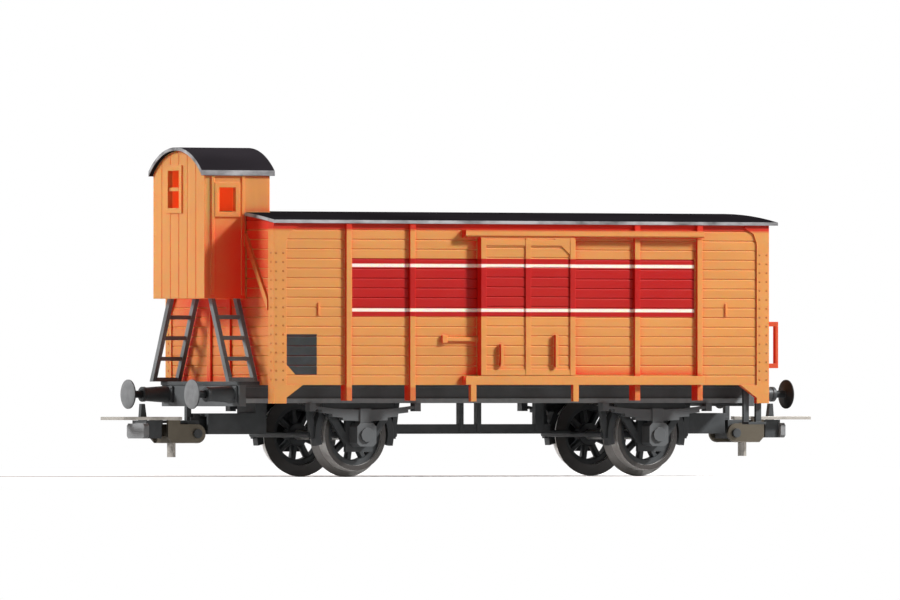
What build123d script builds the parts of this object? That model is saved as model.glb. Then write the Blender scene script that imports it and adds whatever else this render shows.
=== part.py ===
from build123d import *
import os
from math import asin, atan2, cos, degrees, hypot, radians, sin, sqrt

# H0 (1:87) model of a two-axle covered goods wagon with a raised brakeman's cab.
# Millimetres. X runs along the track with the cab at -X, the near side is at -Y and Z is up.
# Heights are written above the top of the rail. export() lifts everything by the flange depth,
# so the origin lies on the floor under the flanges, midway between the buffer faces.

# Overall sizes
length_over_buffers = 110.3
buffer_length = 7.6          # buffer beam face to buffer face
cab_platform = 3.65          # buffer beam face to end wall, at the cab end
plain_setback = 0.4          # buffer beam face to end wall, at the plain end
body_width = 33.6
wheelbase = 54.0
middle = 1.85                # middle of the wheelbase and the doors
bite = 0.2                   # how far fused pieces run into each other
seat_gap = 0.02              # under pieces that rest on a curve
press_gap = 0.01             # between pieces pressed together
running_gap = 0.07           # between a turning pin and its hole

# Wheelsets
back_to_back = 14.4
wheel_width = 2.8
tread_diameter = 11.4
tread_taper = 0.1
flange_depth = 0.95
flange_width = 0.8
tyre_depth = 0.85
axle_diameter = 1.6
tip_diameter = 0.16
tip_length = 0.9             # pointed end past the axle guard
centre_width = 1.7
hub_diameter = 3.8
hub_proud = 0.5
rim_depth = 0.9
spoke_count = 9
spoke_width = 1.0
rim_sides = 27
hub_sides = 12
shaft_sides = 20

# Underframe
wall_bottom = 13.55          # top of the sole bars, underside of the walls and the floor
floor_sheet = 1.2
guard_clearance = 0.55       # wheel to axle guard
guard_sheet = 0.65
guard_half = 6.4
guard_window = 4.9
guard_foot = 2.7             # below the axle
guard_horn = 0.7             # past the axle box
guard_shoulder = 1.2
guard_hole = 0.35            # round the axle
sole_web = 0.5
sole_flange = 0.5
sole_height = 2.85
top_flange = 0.4
bottom_flange = 0.75
beam_thickness = 1.2
beam_height = 3.35
deck_sheet = 0.55
deck_overhang = 0.2
box_width = 3.5
box_height = 3.7
box_depth = 2.4
box_chamfer = 0.55
lid_radius = 1.15
lid_sheet = 0.3
spring_half = 9.8
spring_rise = 0.7
spring_width = 1.2
spring_set = 0.7             # axle guard to spring
spring_drop = 0.35           # sole bar to spring eye
leaf_count = 4
leaf_sheet = 0.45
leaf_step = 1.9
buckle_width = 2.0
hanger_width = 1.1
hanger_drop = 1.3
shoe_gap = 0.4
shoe_depth = 1.1
shoe_width = 1.5
shoe_angle = 44.0
shoe_steps = 4
shoe_tilt = 8.0              # middle of the shoe above the axle
shoe_inset = 0.35            # flange to shoe
link_width = 0.9
link_sheet = 0.7
link_set = 0.3               # shoe to hanger link
link_lean = 1.15
link_foot = 0.6              # below the axle
brake_bar = 0.9
pull_bar_height = 6.05       # underside
pull_bar_depth = 1.3
pull_bar_width = 0.8
pull_bar_end = 4.0           # where the thick part of the pull bar stops
pull_rod = 0.6
pull_rod_rise = 0.4
lever_posts = ((-0.065, 0.8), (0.056, 0.8), (0.472, 1.6))   # share of half the wheelbase, and width
lever_depth = 1.0

# Buffers
buffer_spacing = 20.1
buffer_height = 12.1
head_diameter = 4.65
head_thickness = 0.4
stem_diameter = 1.2
sleeve_length = 5.0
sleeve_base = 2.7
sleeve_nose = 2.1
sleeve_collar = 0.6
collar_proud = 0.15
sleeve_plate = 3.4
sleeve_plate_height = 2.6
sleeve_plate_sheet = 0.35
sleeve_bore = 4.0
head_sides = 24
sleeve_sides = 12
stem_sides = 10

# Walls
wall = 1.2
board_pitch = 1.5
groove_depth = 0.13
groove_width = 0.24
stanchion_width = 0.95
stanchion_depth = 0.5
outer_stanchion = (13.35, 12.9)   # from the cab end and from the plain end
inner_stanchion = 12.05      # from the edge of the door
stanchion_drop = 2.45        # foot below the wall
stanchion_foot = 1.8         # depth of the foot
corner_width = 2.1
corner_sheet = 0.2
corner_drop = 2.9            # foot below the wall
corner_gusset = 3.0
corner_return = 1.6
corner_slant = 0.9
foot_depth = 0.6
head_gusset = ((2.9, 0.0), (1.4, 0.6), (0.5, 2.2))   # drop from the top, and reach past the plate
end_post_offset = 3.05
end_post_width = 1.0
brace_width = 0.9
brace_depth = 0.4
brace_low = 11.95            # brace ends above the wall's underside
brace_high = 24.65
brace_spread = 7.2           # brace top from the middle
rib_width = 0.35
rib_height = 2.0
rib_set = (8.05, 7.8)        # small ribs, from the cab end and from the plain end
rib_rise = 10.95
latch_rise = 7.25            # above the wall's underside
latch_length = 6.1
latch_height = 0.6
latch_knob = 0.7
latch_gap = 0.3

# Sliding doors
door_width = 17.4
door_step = 1.55             # leaf above the wall's underside
door_height = 21.65
door_clearance = 0.15        # leaf to stanchion
door_sheet = 0.5
door_post = 0.2              # posts stand this far out of the leaf
door_board = 0.15            # boards across the leaf
door_lap = 0.8
door_post_width = 0.95
door_board_height = 0.9
door_board_drop = 0.7
door_gusset = (3.9, 3.4)
door_stop = 0.5
tongue_sheet = 0.3
tongue_gap = 0.1
tongue_depth = 0.75
grab_irons = ((3.6, 1.5, 4.9), (13.7, 1.3, 6.4))   # from the leaf's edge, low and high end
grab_bar = 0.5
rail_gap = 0.05
rail_top_height = 1.2
rail_bottom_height = 1.4
rail_chamfer = 0.35
rail_lead = 2.8              # rail past the shut leaf
rail_end = 0.3               # rail past the last stanchion
rail_feet = (-1.4, 0.1)      # rail brackets, past the edges of the door
rail_foot_width = 1.0
rail_foot_depth = 0.7
rail_foot_drop = 2.6

# Roof
roof_over_door = 4.25        # ridge above the door
roof_radius = 100.0
roof_sheet = 0.5
roof_side_overhang = 0.6
roof_cab_overhang = 0.4
roof_plain_overhang = 1.65

# Brakeman's cab
cab_front_overhang = 3.95    # cab end wall past the buffer beam face
cab_over_roof = 4.3          # cab rear wall past the wagon's end wall
cab_width = 16.0
cab_rise = 9.96              # cab ridge above the wagon's ridge
cab_height = 23.8
cab_wall = 0.8
cab_floor_sheet = 0.9
cab_roof_radius = 11.2
cab_roof_sheet = 0.5
cab_roof_side = 0.35
cab_roof_front = 0.7
cab_roof_rear = 0.75
cab_board = 2.65
cab_notch = 0.2              # wagon roof to cab
frame_proud = 0.25
frame_width = 0.8
end_window_offset = 1.3
end_window_drop = 6.6        # centre below the cab ridge
end_window_width = 3.5
end_window_height = 5.9
end_window_bar = 0.55
side_window_set = 4.1        # centre from the cab end wall
side_window_drop = 8.26
side_window_width = 3.0
side_window_height = 3.8
blind_depth = 0.4            # window recess that doesn't go through
cab_post = 0.5
cab_post_proud = 0.2
cab_post_set = (1.5, 0.6)    # door posts, from the cab end wall and from the wagon's end wall
cab_post_lift = 0.6

# Ladders
ladder_width = 5.25
ladder_gap = 0.05            # to the end wall
ladder_inset = 0.2           # foot from the edge of the platform
ladder_lean = 1.6            # top inside the cab's side
stringer_width = 0.7
stringer_depth = 1.0
rung_height = 0.65
rung_depth = 0.8
rung_count = 4

# Handrails and steps
handrail_reach = 1.85
handrail_bar = 0.5
handrail_depth = 0.75
handrail_low = 2.7           # above the wall's underside
handrail_length = 7.4
step_straps = (3.4, 1.1)     # from the plain end
strap_width = 1.0
step_sheet = 0.5
step_drop = 6.25
step_set = 0.85
step_tread = 2.0
step_length = 3.3
step_thickness = 0.4

# Couplers, drawn at the plain end
pivot_setback = 7.55         # pocket pin behind the buffer beam face
pocket_back = 2.8            # pocket behind its pin
pocket_nose = 0.25           # pocket past the buffer beam face
pocket_bottom = 5.8
pocket_height = 3.3
pocket_width = 5.8
pocket_wall = 0.5
pocket_stand = 2.0
shank_width = 1.8
shank_gap = 0.15
pivot_diameter = 1.6
eye_wall = 0.75
eye_sides = 16
pin_sides = 20
loop_set = 2.3               # loop pin past the buffer beam face
loop_pin_height = 5.9
loop_pin_diameter = 0.9
pin_head = 0.3
loop_sheet = 0.5
loop_width = 7.2
loop_length = 13.75
loop_bar = 0.5
cheek_inner = 2.5
cheek_radius = 1.5
cheek_length = 5.3
cheek_riser = 2.2
cheek_chamfer = 0.9
cheek_sides = 20
web_drop = 0.35              # loop web below its pin
tab_set = 3.0                # lifting tab from the pin
tab_width = 1.8
tab_length = 3.7
lift_clearance = 0.7         # loop to head block
cheek_gap = 0.5
head_top = 8.0
head_rear = 0.9
lug_front = 1.1
plate_length = 9.5           # front plate from the pin
plate_thickness = 0.9
plate_width = 5.5
plate_bottom = 5.15
plate_top = 7.5
plate_chamfer = 0.4
block_width = 4.4
neck_sheet = 0.45
hook_height = 2.6
hook_width = 0.8
hook_foot = 1.2
hook_tip = 0.6
rear_lug_height = 2.2
rear_lug_width = 0.8
riser_set = (0.5, 1.7)       # step on the shank, behind the pin
riser_top = 9.0

# Values worked out from those above
tread_radius = tread_diameter / 2
axle_height = tread_radius
flange_radius = tread_radius + flange_depth
tyre_radius = tread_radius - tyre_depth
beam_face = length_over_buffers / 2 - buffer_length
body_x0 = cab_platform - beam_face
body_x1 = beam_face - plain_setback
side_y = body_width / 2
inner_y = side_y - wall
wheel_inner = back_to_back / 2
wheel_outer = wheel_inner + wheel_width
guard_inner = wheel_outer + guard_clearance
guard_outer = guard_inner + guard_sheet
tip_taper = degrees(atan2((axle_diameter - tip_diameter) / 2, tip_length))
sole_face = guard_outer + sole_web + sole_flange
sole_bottom = wall_bottom - sole_height
deck_top = wall_bottom + deck_sheet
axle_x = [middle - wheelbase / 2, middle + wheelbase / 2]
stanchion_y = side_y + stanchion_depth
leaf_inner = stanchion_y + door_clearance
leaf_outer = leaf_inner + door_sheet
door_face = leaf_outer + door_post
door_x0 = middle - door_width / 2
door_x1 = middle + door_width / 2
stanchion_x = [body_x0 + outer_stanchion[0], door_x0 - inner_stanchion,
               door_x1 + inner_stanchion, body_x1 - outer_stanchion[1]]
door_bottom = wall_bottom + door_step
door_top = door_bottom + door_height
roof_ridge = door_top + roof_over_door
roof_centre = roof_ridge - roof_radius
roof_inner_radius = roof_radius - roof_sheet
body_roof_low = roof_centre + sqrt(roof_radius ** 2 - side_y ** 2)
cab_x0 = -beam_face - cab_front_overhang
cab_x1 = body_x0 + cab_over_roof
cab_y = cab_width / 2
cab_ridge = roof_ridge + cab_rise
ladder_foot = sole_face - ladder_inset
ladder_top = cab_y - ladder_lean
cab_bottom = cab_ridge - cab_height
cab_roof_centre = cab_ridge - cab_roof_radius
cab_roof_inner = cab_roof_radius - cab_roof_sheet
coupler_pivot = beam_face - pivot_setback
pocket_inner = coupler_pivot - pocket_back
pocket_outer = beam_face + pocket_nose
pocket_top = pocket_bottom + pocket_height
loop_pin = (beam_face + loop_set, loop_pin_height)
loop_reach = loop_pin[0] + loop_length
cheek_end = loop_pin[0] + cheek_length
plate_face = loop_pin[0] + plate_length
plate_back = plate_face - plate_thickness
long = 4 * length_over_buffers

os.makedirs("parts", exist_ok=True)


def export(node, *shapes):
    """Write one node, lifted so that the flanges stand on the floor."""
    lift = Pos(0, 0, flange_depth)
    solids = [lift * solid for shape in shapes for solid in shape.solids()]
    export_step(solids[0] if len(solids) == 1 else Compound(children=solids), f"parts/{node}.step")


def block(x0, x1, y0, y1, z0, z1):
    """Box between two corners."""
    centre = Pos((x0 + x1) / 2, (y0 + y1) / 2, (z0 + z1) / 2)
    return centre * Box(abs(x1 - x0), abs(y1 - y0), abs(z1 - z0))


def along_x(profile, x0, x1):
    """Profile drawn across and up, pushed along the wagon between x0 and x1."""
    return Pos(min(x0, x1), 0, 0) * extrude(Plane.YZ * profile, amount=abs(x1 - x0), dir=(1, 0, 0))


def along_y(profile, y0, y1):
    """Profile drawn along and up, pushed across the wagon from y0 to y1."""
    return Pos(0, y0, 0) * extrude(Plane.XZ * profile, amount=y1 - y0, dir=(0, 1, 0))


def upright(profile, z0, z1):
    """Profile drawn in plan, pushed up from z0 to z1."""
    return Pos(0, 0, z0) * extrude(profile, amount=z1 - z0, dir=(0, 0, 1))


def outline(*points):
    return Polygon(*points, align=None)


def rod_x(radius, sides, x0, x1, y, z):
    """Rod of regular section along the wagon."""
    return along_x(Pos(y, z) * RegularPolygon(radius, sides), x0, x1)


def rod_y(radius, sides, y0, y1, x, z):
    """Rod of regular section across the wagon."""
    return along_y(Pos(x, z) * RegularPolygon(radius, sides), y0, y1)


def slanted_bar(start, end, width):
    """Flat bar between two points of a profile."""
    dx, dy = end[0] - start[0], end[1] - start[1]
    centre = Pos((start[0] + end[0]) / 2, (start[1] + end[1]) / 2)
    return centre * Rot(0, 0, degrees(atan2(dy, dx))) * Rectangle(hypot(dx, dy), width)


def mirrored(shape):
    return mirror(shape, about=Plane.XZ)


def far_side(shape):
    """The same piece on the far side, half a turn about the middle of the doors."""
    return Pos(2 * middle, 0, 0) * Rot(0, 0, 180) * shape


def other_end(shape):
    """The same piece at the cab end, half a turn about the middle between the buffers."""
    return Rot(0, 0, 180) * shape


def boarded(face, back, start, stop, pitch):
    """Panel in section: a flat back, and a face with a V groove at each joint between boards."""
    inward = groove_depth if back > face else -groove_depth
    boards = max(1, round((stop - start) / pitch))
    step = (stop - start) / boards
    points = [(back, start), (face, start)]
    for joint in range(1, boards):
        at = start + joint * step
        points += [(face, at - groove_width / 2), (face + inward, at), (face, at + groove_width / 2)]
    points += [(face, stop), (back, stop)]
    return outline(*points)


def arch_space(radius, centre, bottom, x0, x1):
    """The space under an arched roof, as wide as the arch."""
    space = Pos(0, centre) * Circle(radius)
    if bottom < centre:
        space += Pos(0, (bottom + centre) / 2) * Rectangle(2 * radius, centre - bottom)
    return along_x(space, x0, x1)


under_roof = arch_space(roof_inner_radius - seat_gap, roof_centre, wall_bottom, -long, long)
over_roof = arch_space(roof_radius + seat_gap, roof_centre, wall_bottom, body_x0, long)
under_cab_roof = arch_space(cab_roof_inner - seat_gap, cab_roof_centre, cab_bottom - wall, -long, long)


def wheelset(x):
    """Axle with pointed ends, two spoked centres and two flanged tyres."""
    radius = axle_diameter / 2
    axle = rod_y(radius, shaft_sides, -guard_outer, guard_outer, 0, 0)
    point = extrude(RegularPolygon(radius, shaft_sides), amount=tip_length, taper=tip_taper)
    point = Pos(0, guard_outer, 0) * Rot(-90, 0, 0) * point
    axle += point
    axle += mirrored(point)

    rim_outer = tyre_radius - press_gap
    rim_inner = rim_outer - rim_depth
    disc = RegularPolygon(rim_outer, rim_sides) - RegularPolygon(
        radius + press_gap, hub_sides, major_radius=False)
    near, far = hub_diameter / 2, rim_inner
    half_turn = 180 / spoke_count
    spread = [half_turn - degrees(asin(spoke_width / 2 / reach)) for reach in (near, far)]
    window = outline(*[(reach * cos(radians(turn)), reach * sin(radians(turn))) for reach, turn in (
        (near, -spread[0]), (far, -spread[1]), (far, spread[1]), (near, spread[0]))])
    for index in range(spoke_count):
        disc -= Rot(0, 0, index * 360 / spoke_count) * window
    boss = RegularPolygon(hub_diameter / 2, hub_sides) - RegularPolygon(
        radius + press_gap, hub_sides, major_radius=False)
    inset = (wheel_width - centre_width) / 2
    centre = along_y(disc, wheel_inner + inset, wheel_outer - inset)
    centre += along_y(boss, wheel_inner + inset, wheel_outer - inset + hub_proud)

    tyre = revolve(outline(
        (tyre_radius, wheel_inner), (flange_radius, wheel_inner), (tread_radius, wheel_inner + flange_width),
        (tread_radius - tread_taper, wheel_outer), (tyre_radius, wheel_outer)), Axis.Y)

    place = Pos(x, 0, axle_height)
    return (place * axle, [place * centre, place * mirrored(centre)],
            [place * tyre, place * mirrored(tyre)])


def axle_guard(x):
    """Pressed axle guard with a window each side of the horn guides, on the near side."""
    top = wall_bottom - top_flange
    brace_top = sole_bottom - spring_drop - spring_rise
    horn = box_width / 2 + guard_horn
    foot = axle_height - guard_foot
    plate = outline((-guard_half, top), (guard_half, top), (guard_half, brace_top),
                    (horn, foot + guard_shoulder), (horn, foot), (-horn, foot),
                    (-horn, foot + guard_shoulder),
                    (-guard_half, brace_top))
    window = outline((horn, brace_top), (guard_window, brace_top), (horn, foot + 2.5 * guard_shoulder))
    plate = plate - window - mirror(window, about=Plane.YZ)
    plate = plate - Pos(0, axle_height) * RegularPolygon(axle_diameter / 2 + guard_hole, stem_sides)
    return Pos(x, 0, 0) * along_y(plate, -guard_outer, -guard_inner)


def axle_box(x):
    """Axle box with a lid, and a cone inside that takes the pointed axle end."""
    low = axle_height - box_height / 2
    front = -guard_outer - box_depth
    shell = block(-box_width / 2, box_width / 2, front, -guard_outer, low, low + box_height)
    shell = chamfer(shell.edges().filter_by(Axis.Y), box_chamfer)
    lid = rod_y(lid_radius, stem_sides, front - lid_sheet, front + bite, 0, axle_height)
    mouth = axle_diameter / 2 + running_gap
    cone = extrude(RegularPolygon(mouth, shaft_sides, major_radius=False), amount=tip_length + running_gap,
                   taper=tip_taper)
    return Pos(x, 0, 0) * (shell + lid - Pos(0, -guard_outer, axle_height) * Rot(90, 0, 0) * cone)


def leaf_spring(x):
    """Leaf pack that stands on the axle box and hangs from the sole bar at both ends."""
    box_top = axle_height + box_height / 2
    top = sole_bottom - spring_drop - spring_rise
    halves = [spring_half - leaf * leaf_step for leaf in range(leaf_count)]
    bends = [-half for half in halves] + [0] + halves[::-1]
    pack = None
    for leaf, half in enumerate(halves):
        over = [(bend, top + spring_rise * (bend / spring_half) ** 2 - leaf * leaf_sheet)
                for bend in bends if abs(bend) <= half]
        under = [(bend, height - leaf_sheet) for bend, height in reversed(over)]
        band = outline(*over, *under)
        pack = band if pack is None else pack + band
    y1 = -guard_outer - spring_set
    y0 = y1 - spring_width
    spring = along_y(pack, y0, y1)
    spring += block(-buckle_width / 2, buckle_width / 2, y0 - bite, y1 + bite, box_top, top + bite)
    for side in (-1, 1):
        end = side * (spring_half - bite)
        spring += block(end - hanger_width / 2, end + hanger_width / 2, y0 - bite / 2, y1 + bite / 2,
                        sole_bottom - hanger_drop, sole_bottom)
    return Pos(x, 0, 0) * spring


shoe_reach = tread_radius + shoe_gap + shoe_depth + link_set
bar_reach = shoe_reach + link_set


def brake_set(x, side):
    """Two shoes with their hangers, joined across the track by a bar."""
    inner = tread_radius + shoe_gap
    outer = inner + shoe_depth
    shoe_y = wheel_inner + flange_width + shoe_inset
    half_angle = radians(shoe_angle / 2)
    turns = [radians(shoe_tilt) + half_angle * (2 * step / shoe_steps - 1) for step in range(shoe_steps + 1)]
    arc = [(inner, turn) for turn in turns] + [(outer, turn) for turn in reversed(turns)]
    shoe = along_y(outline(*[(reach * cos(turn), reach * sin(turn)) for reach, turn in arc]),
                   -shoe_y - shoe_width, -shoe_y)
    link_y = shoe_y + shoe_width / 2
    roof = wall_bottom - axle_height
    link_x = shoe_reach - bite
    link = slanted_bar((link_x, -link_foot), (link_x + link_lean, roof + link_foot), link_width)
    link = along_y(link, -link_y - link_sheet / 2, link_sheet / 2 - link_y)
    near = (shoe + link) & block(0, 4 * shoe_reach, -long, long, -long, roof)
    bar = rod_y(brake_bar / 2, stem_sides, -link_y, link_y, bar_reach, 0)
    turn = Rot(0, 0, 0) if side > 0 else Rot(0, 0, 180)
    return Pos(x, 0, axle_height) * turn * (near + mirrored(near) + bar)


def brake_pull_bar():
    """Pull rod between the inner brake bars, with its lever posts under the floor."""
    reach = bar_reach + brake_bar / 2 + seat_gap
    half = pull_bar_width / 2
    x0 = axle_x[0] + reach
    x1 = axle_x[1] - reach
    low = pull_bar_height
    bar = block(x0 + pull_bar_end, x1 - pull_bar_end, -half, half, low, low + pull_bar_depth)
    bar += rod_x(pull_rod / 2, stem_sides, x0, x1, 0, axle_height + pull_rod_rise)
    for share, width in lever_posts:
        x = middle + share * wheelbase / 2
        bar += block(x - width / 2, x + width / 2, -lever_depth / 2, lever_depth / 2, low, wall_bottom)
    return bar


def buffer(y):
    """Buffer sleeve with its base plate, and the head on its stem, at the plain end."""
    slope = degrees(atan2((sleeve_base - sleeve_nose) / 2, sleeve_length))
    taper = Pos(beam_face, y, buffer_height) * Rot(0, 90, 0) * extrude(
        RegularPolygon(sleeve_base / 2, sleeve_sides), amount=sleeve_length, taper=slope)
    plate = block(beam_face, beam_face + sleeve_plate_sheet, y - sleeve_plate / 2, y + sleeve_plate / 2,
                  buffer_height - sleeve_plate_height / 2, buffer_height + sleeve_plate_height / 2)
    nose = beam_face + sleeve_length
    collar = rod_x(sleeve_nose / 2 + collar_proud, sleeve_sides, nose - sleeve_collar, nose, y, buffer_height)
    sleeve = taper + plate + collar - rod_x(stem_diameter / 2 + press_gap, stem_sides, nose - sleeve_bore,
                                            nose + sleeve_bore, y, buffer_height)
    face = beam_face + buffer_length
    head = rod_x(head_diameter / 2, head_sides, face - head_thickness, face, y, buffer_height)
    stem = rod_x(stem_diameter / 2, stem_sides, nose - sleeve_bore, face - head_thickness / 2, y,
                 buffer_height)
    return sleeve, head + stem


def coupler_pocket():
    """Pocket under the floor, open to the front, with the pin that the coupler swings on."""
    half = pocket_width / 2
    pocket = block(pocket_inner, pocket_outer, -half, half, pocket_bottom, pocket_top)
    pocket -= block(pocket_inner + pocket_wall, pocket_outer + pocket_wall, pocket_wall - half,
                    half - pocket_wall, pocket_bottom + pocket_wall, pocket_top - pocket_wall)
    pin = Pos(coupler_pivot, 0) * RegularPolygon(pivot_diameter / 2, pin_sides)
    pocket += upright(pin, pocket_bottom + pocket_wall / 2, pocket_top - pocket_wall / 2)
    return pocket + block(pocket_inner, pocket_inner + pocket_stand, -half, half,
                          pocket_top - bite, wall_bottom)


def coupler_head():
    """Swinging shank with the front plate, the hook and the pin that carries the loop."""
    pin_x, pin_z = loop_pin
    z0 = pocket_bottom + pocket_wall + shank_gap
    z1 = pocket_top - pocket_wall - shank_gap
    eye = RegularPolygon(pivot_diameter / 2 + eye_wall, eye_sides)
    eye = upright(Pos(coupler_pivot, 0) * eye, z0, z1)
    head = eye + block(coupler_pivot, pin_x, -shank_width / 2, shank_width / 2, z0, z1)
    bore = RegularPolygon(pivot_diameter / 2 + running_gap, pin_sides, major_radius=False)
    head -= upright(Pos(coupler_pivot, 0) * bore, z0 - bite, z1 + bite)
    head += block(pin_x - riser_set[1], pin_x - riser_set[0], -shank_width / 2, shank_width / 2,
                  z1 - bite, riser_top)
    body_y = cheek_inner - cheek_gap
    block_x = cheek_end + lift_clearance
    head += block(pin_x - head_rear, pin_x + lug_front, -body_y, body_y, pin_z - head_rear, head_top)
    head += block(pin_x, block_x + bite, -body_y, body_y, head_top - neck_sheet, head_top)
    head += block(block_x, plate_back + bite, -block_width / 2, block_width / 2, plate_bottom, head_top)
    plate = block(plate_back, plate_face, -plate_width / 2, plate_width / 2, plate_bottom, plate_top)
    head += chamfer(plate.edges().filter_by(Axis.X), plate_chamfer)
    hook_x = (plate_back + bite - hook_foot, plate_back + bite)
    hook = outline((hook_x[0], head_top - bite), (hook_x[1], head_top - bite), (hook_x[1], head_top),
                   (hook_x[1] - bite, head_top + hook_height),
                   (hook_x[1] - bite - hook_tip, head_top + hook_height))
    head += along_y(hook, -hook_width / 2, hook_width / 2)
    head += block(pin_x - rear_lug_width / 2, pin_x + rear_lug_width / 2, -rear_lug_width / 2,
                  rear_lug_width / 2, head_top - bite, head_top + rear_lug_height)
    end = cheek_inner + loop_sheet + running_gap
    head += rod_y(loop_pin_diameter / 2, pin_sides, -end - bite, end + bite, pin_x, pin_z)
    for side in (-1, 1):
        head += rod_y(loop_pin_diameter / 2 + pin_head, stem_sides, side * end, side * (end + pin_head),
                      pin_x, pin_z)
    return head


def coupler_loop():
    """Sheet-metal loop: two cheeks on the pin, arms, front bar, web and the tab that lifts it."""
    x, z = loop_pin
    arm_low = head_top + rail_gap
    arm_high = arm_low + loop_bar
    arm_x = cheek_end - cheek_riser
    profile = Pos(x, z) * RegularPolygon(cheek_radius, cheek_sides, major_radius=False) + outline(
        (x, z - cheek_radius), (cheek_end - cheek_chamfer, z - cheek_radius),
        (cheek_end, z - cheek_radius + cheek_chamfer), (cheek_end, arm_high), (arm_x, arm_high),
        (arm_x, z + cheek_radius), (x, z + cheek_radius))
    profile -= Pos(x, z) * RegularPolygon(loop_pin_diameter / 2 + running_gap, pin_sides, major_radius=False)
    half = loop_width / 2
    near = along_y(profile, -cheek_inner - loop_sheet, -cheek_inner)
    near += block(arm_x, loop_reach, -half, -cheek_inner, arm_low, arm_high)
    bar = block(loop_reach - 2 * loop_bar, loop_reach, -half, half, arm_low, arm_high)
    web = block(cheek_end - cheek_chamfer - loop_sheet, cheek_end - cheek_chamfer, -cheek_inner - bite,
                cheek_inner + bite, z - cheek_radius, z - web_drop)
    tab_x = x + tab_set
    tab = block(tab_x - loop_sheet / 2, tab_x + loop_sheet / 2, -tab_width / 2, tab_width / 2,
                z - tab_length, z - web_drop)
    tab += block(tab_x - loop_sheet / 2, tab_x + loop_sheet / 2, -cheek_inner - bite, cheek_inner + bite,
                 z - cheek_radius, z - web_drop)
    return near + mirrored(near) + bar + web + tab


def stanchion(x):
    """Wall stanchion that runs down past the sole bar, on the near side."""
    x0, x1 = x - stanchion_width / 2, x + stanchion_width / 2
    post = block(x0, x1, -stanchion_y, -side_y, wall_bottom - bite, roof_ridge) & under_roof
    return post + block(x0, x1, -stanchion_y, stanchion_foot - stanchion_y,
                        wall_bottom - stanchion_drop, wall_bottom)


def wall_panel():
    """Boarded wall with the door opening and two small ribs, on the near side."""
    panel = along_x(boarded(-side_y, -inner_y, wall_bottom, roof_ridge, board_pitch), body_x0, body_x1)
    panel -= block(door_x0 + door_lap, door_x1 - door_lap, -side_y - wall, wall - inner_y,
                   door_bottom + bite, door_top - door_lap)
    rib_z = wall_bottom + rib_rise
    for x in (body_x0 + rib_set[0], body_x1 - rib_set[1]):
        panel += block(x - rib_width / 2, x + rib_width / 2, -side_y - corner_sheet, bite - side_y,
                       rib_z, rib_z + rib_height)
    return panel & under_roof


def latch():
    """Latch bar beside the near door, let into the wall."""
    z = wall_bottom + latch_rise
    x = door_x0 - latch_gap - latch_length
    bar = block(x, door_x0 - latch_gap, bite / 2 - stanchion_y, bite - side_y,
                z - latch_height / 2, z + latch_height / 2)
    return bar + block(x - bite, x + latch_knob, -stanchion_y, bite - side_y,
                       z - latch_height, z + latch_height)


def end_wall(face, back):
    """Boarded end wall between the side walls."""
    panel = along_y(boarded(face, back, wall_bottom, roof_ridge, board_pitch), -inner_y, inner_y)
    return panel & under_roof


def end_posts(face, outer, post_bottom, post_top, brace_inner):
    """Post and brace on the near half of an end wall."""
    x0, x1 = min(face, outer), max(face, outer)
    post = block(x0, x1, -end_post_offset - end_post_width / 2, end_post_width / 2 - end_post_offset,
                 post_bottom, post_top)
    bar = along_x(slanted_bar((-inner_y, wall_bottom + brace_low), (-brace_spread, wall_bottom + brace_high),
                              brace_width), x0, x1)
    bar = bar & block(x0, x1, corner_return - side_y, -brace_inner, wall_bottom, roof_ridge)
    return [post & under_roof, bar & under_roof]


def corner_plate(sign):
    """Angle plate on a corner, with its gussets and foot, on the near side; sign is its end."""
    end = body_x0 if sign < 0 else body_x1
    inward = -sign
    plate_y = side_y + corner_sheet
    top = roof_centre + sqrt((roof_inner_radius - seat_gap) ** 2 - plate_y ** 2) - seat_gap
    low = wall_bottom - corner_drop
    edge = end + inward * corner_width
    out = end + sign * corner_sheet
    gusset = [(edge + inward * reach, top - drop) for drop, reach in head_gusset]
    leg = outline((out, wall_bottom), (edge, wall_bottom), *gusset, (gusset[-1][0], top), (out, top))
    foot = outline((out, low), (edge, low), (edge, low + corner_slant),
                   (edge + inward * corner_gusset, wall_bottom), (out, wall_bottom))
    plate = along_y(leg, -plate_y, -side_y) + along_y(foot, -plate_y, foot_depth - side_y)
    return plate + block(out, end, -plate_y, corner_return - side_y, low, top)


def door_rails():
    """Top and bottom rails of the near door, each with the slot that guides the leaf."""
    x0 = door_x0 - rail_lead
    x1 = stanchion_x[-1] + rail_end
    slot_depth = tongue_depth + tongue_gap
    top_z = door_top + rail_gap
    top = block(x0, x1, -door_face, -side_y, top_z, top_z + rail_top_height)
    lip = top.edges().filter_by(Axis.X).group_by(Axis.Z)[0].sort_by(Axis.Y)[0]
    top = chamfer(lip, rail_chamfer)
    top -= block(x0 - wall, x1 + wall, -leaf_outer, -leaf_inner, top_z - wall, top_z + slot_depth)
    low_z = door_bottom - tongue_gap
    low = block(x0, x1, -door_face, -side_y, low_z - rail_bottom_height, low_z)
    low -= block(x0 - wall, x1 + wall, -leaf_outer, -leaf_inner, low_z - slot_depth, low_z + wall)
    for x in (door_x0 + rail_feet[0], door_x1 + rail_feet[1]):
        low += block(x - rail_foot_width / 2, x + rail_foot_width / 2, -door_face,
                     rail_foot_depth - door_face, wall_bottom - rail_foot_drop, low_z - slot_depth - bite)
    return top, low


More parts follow.
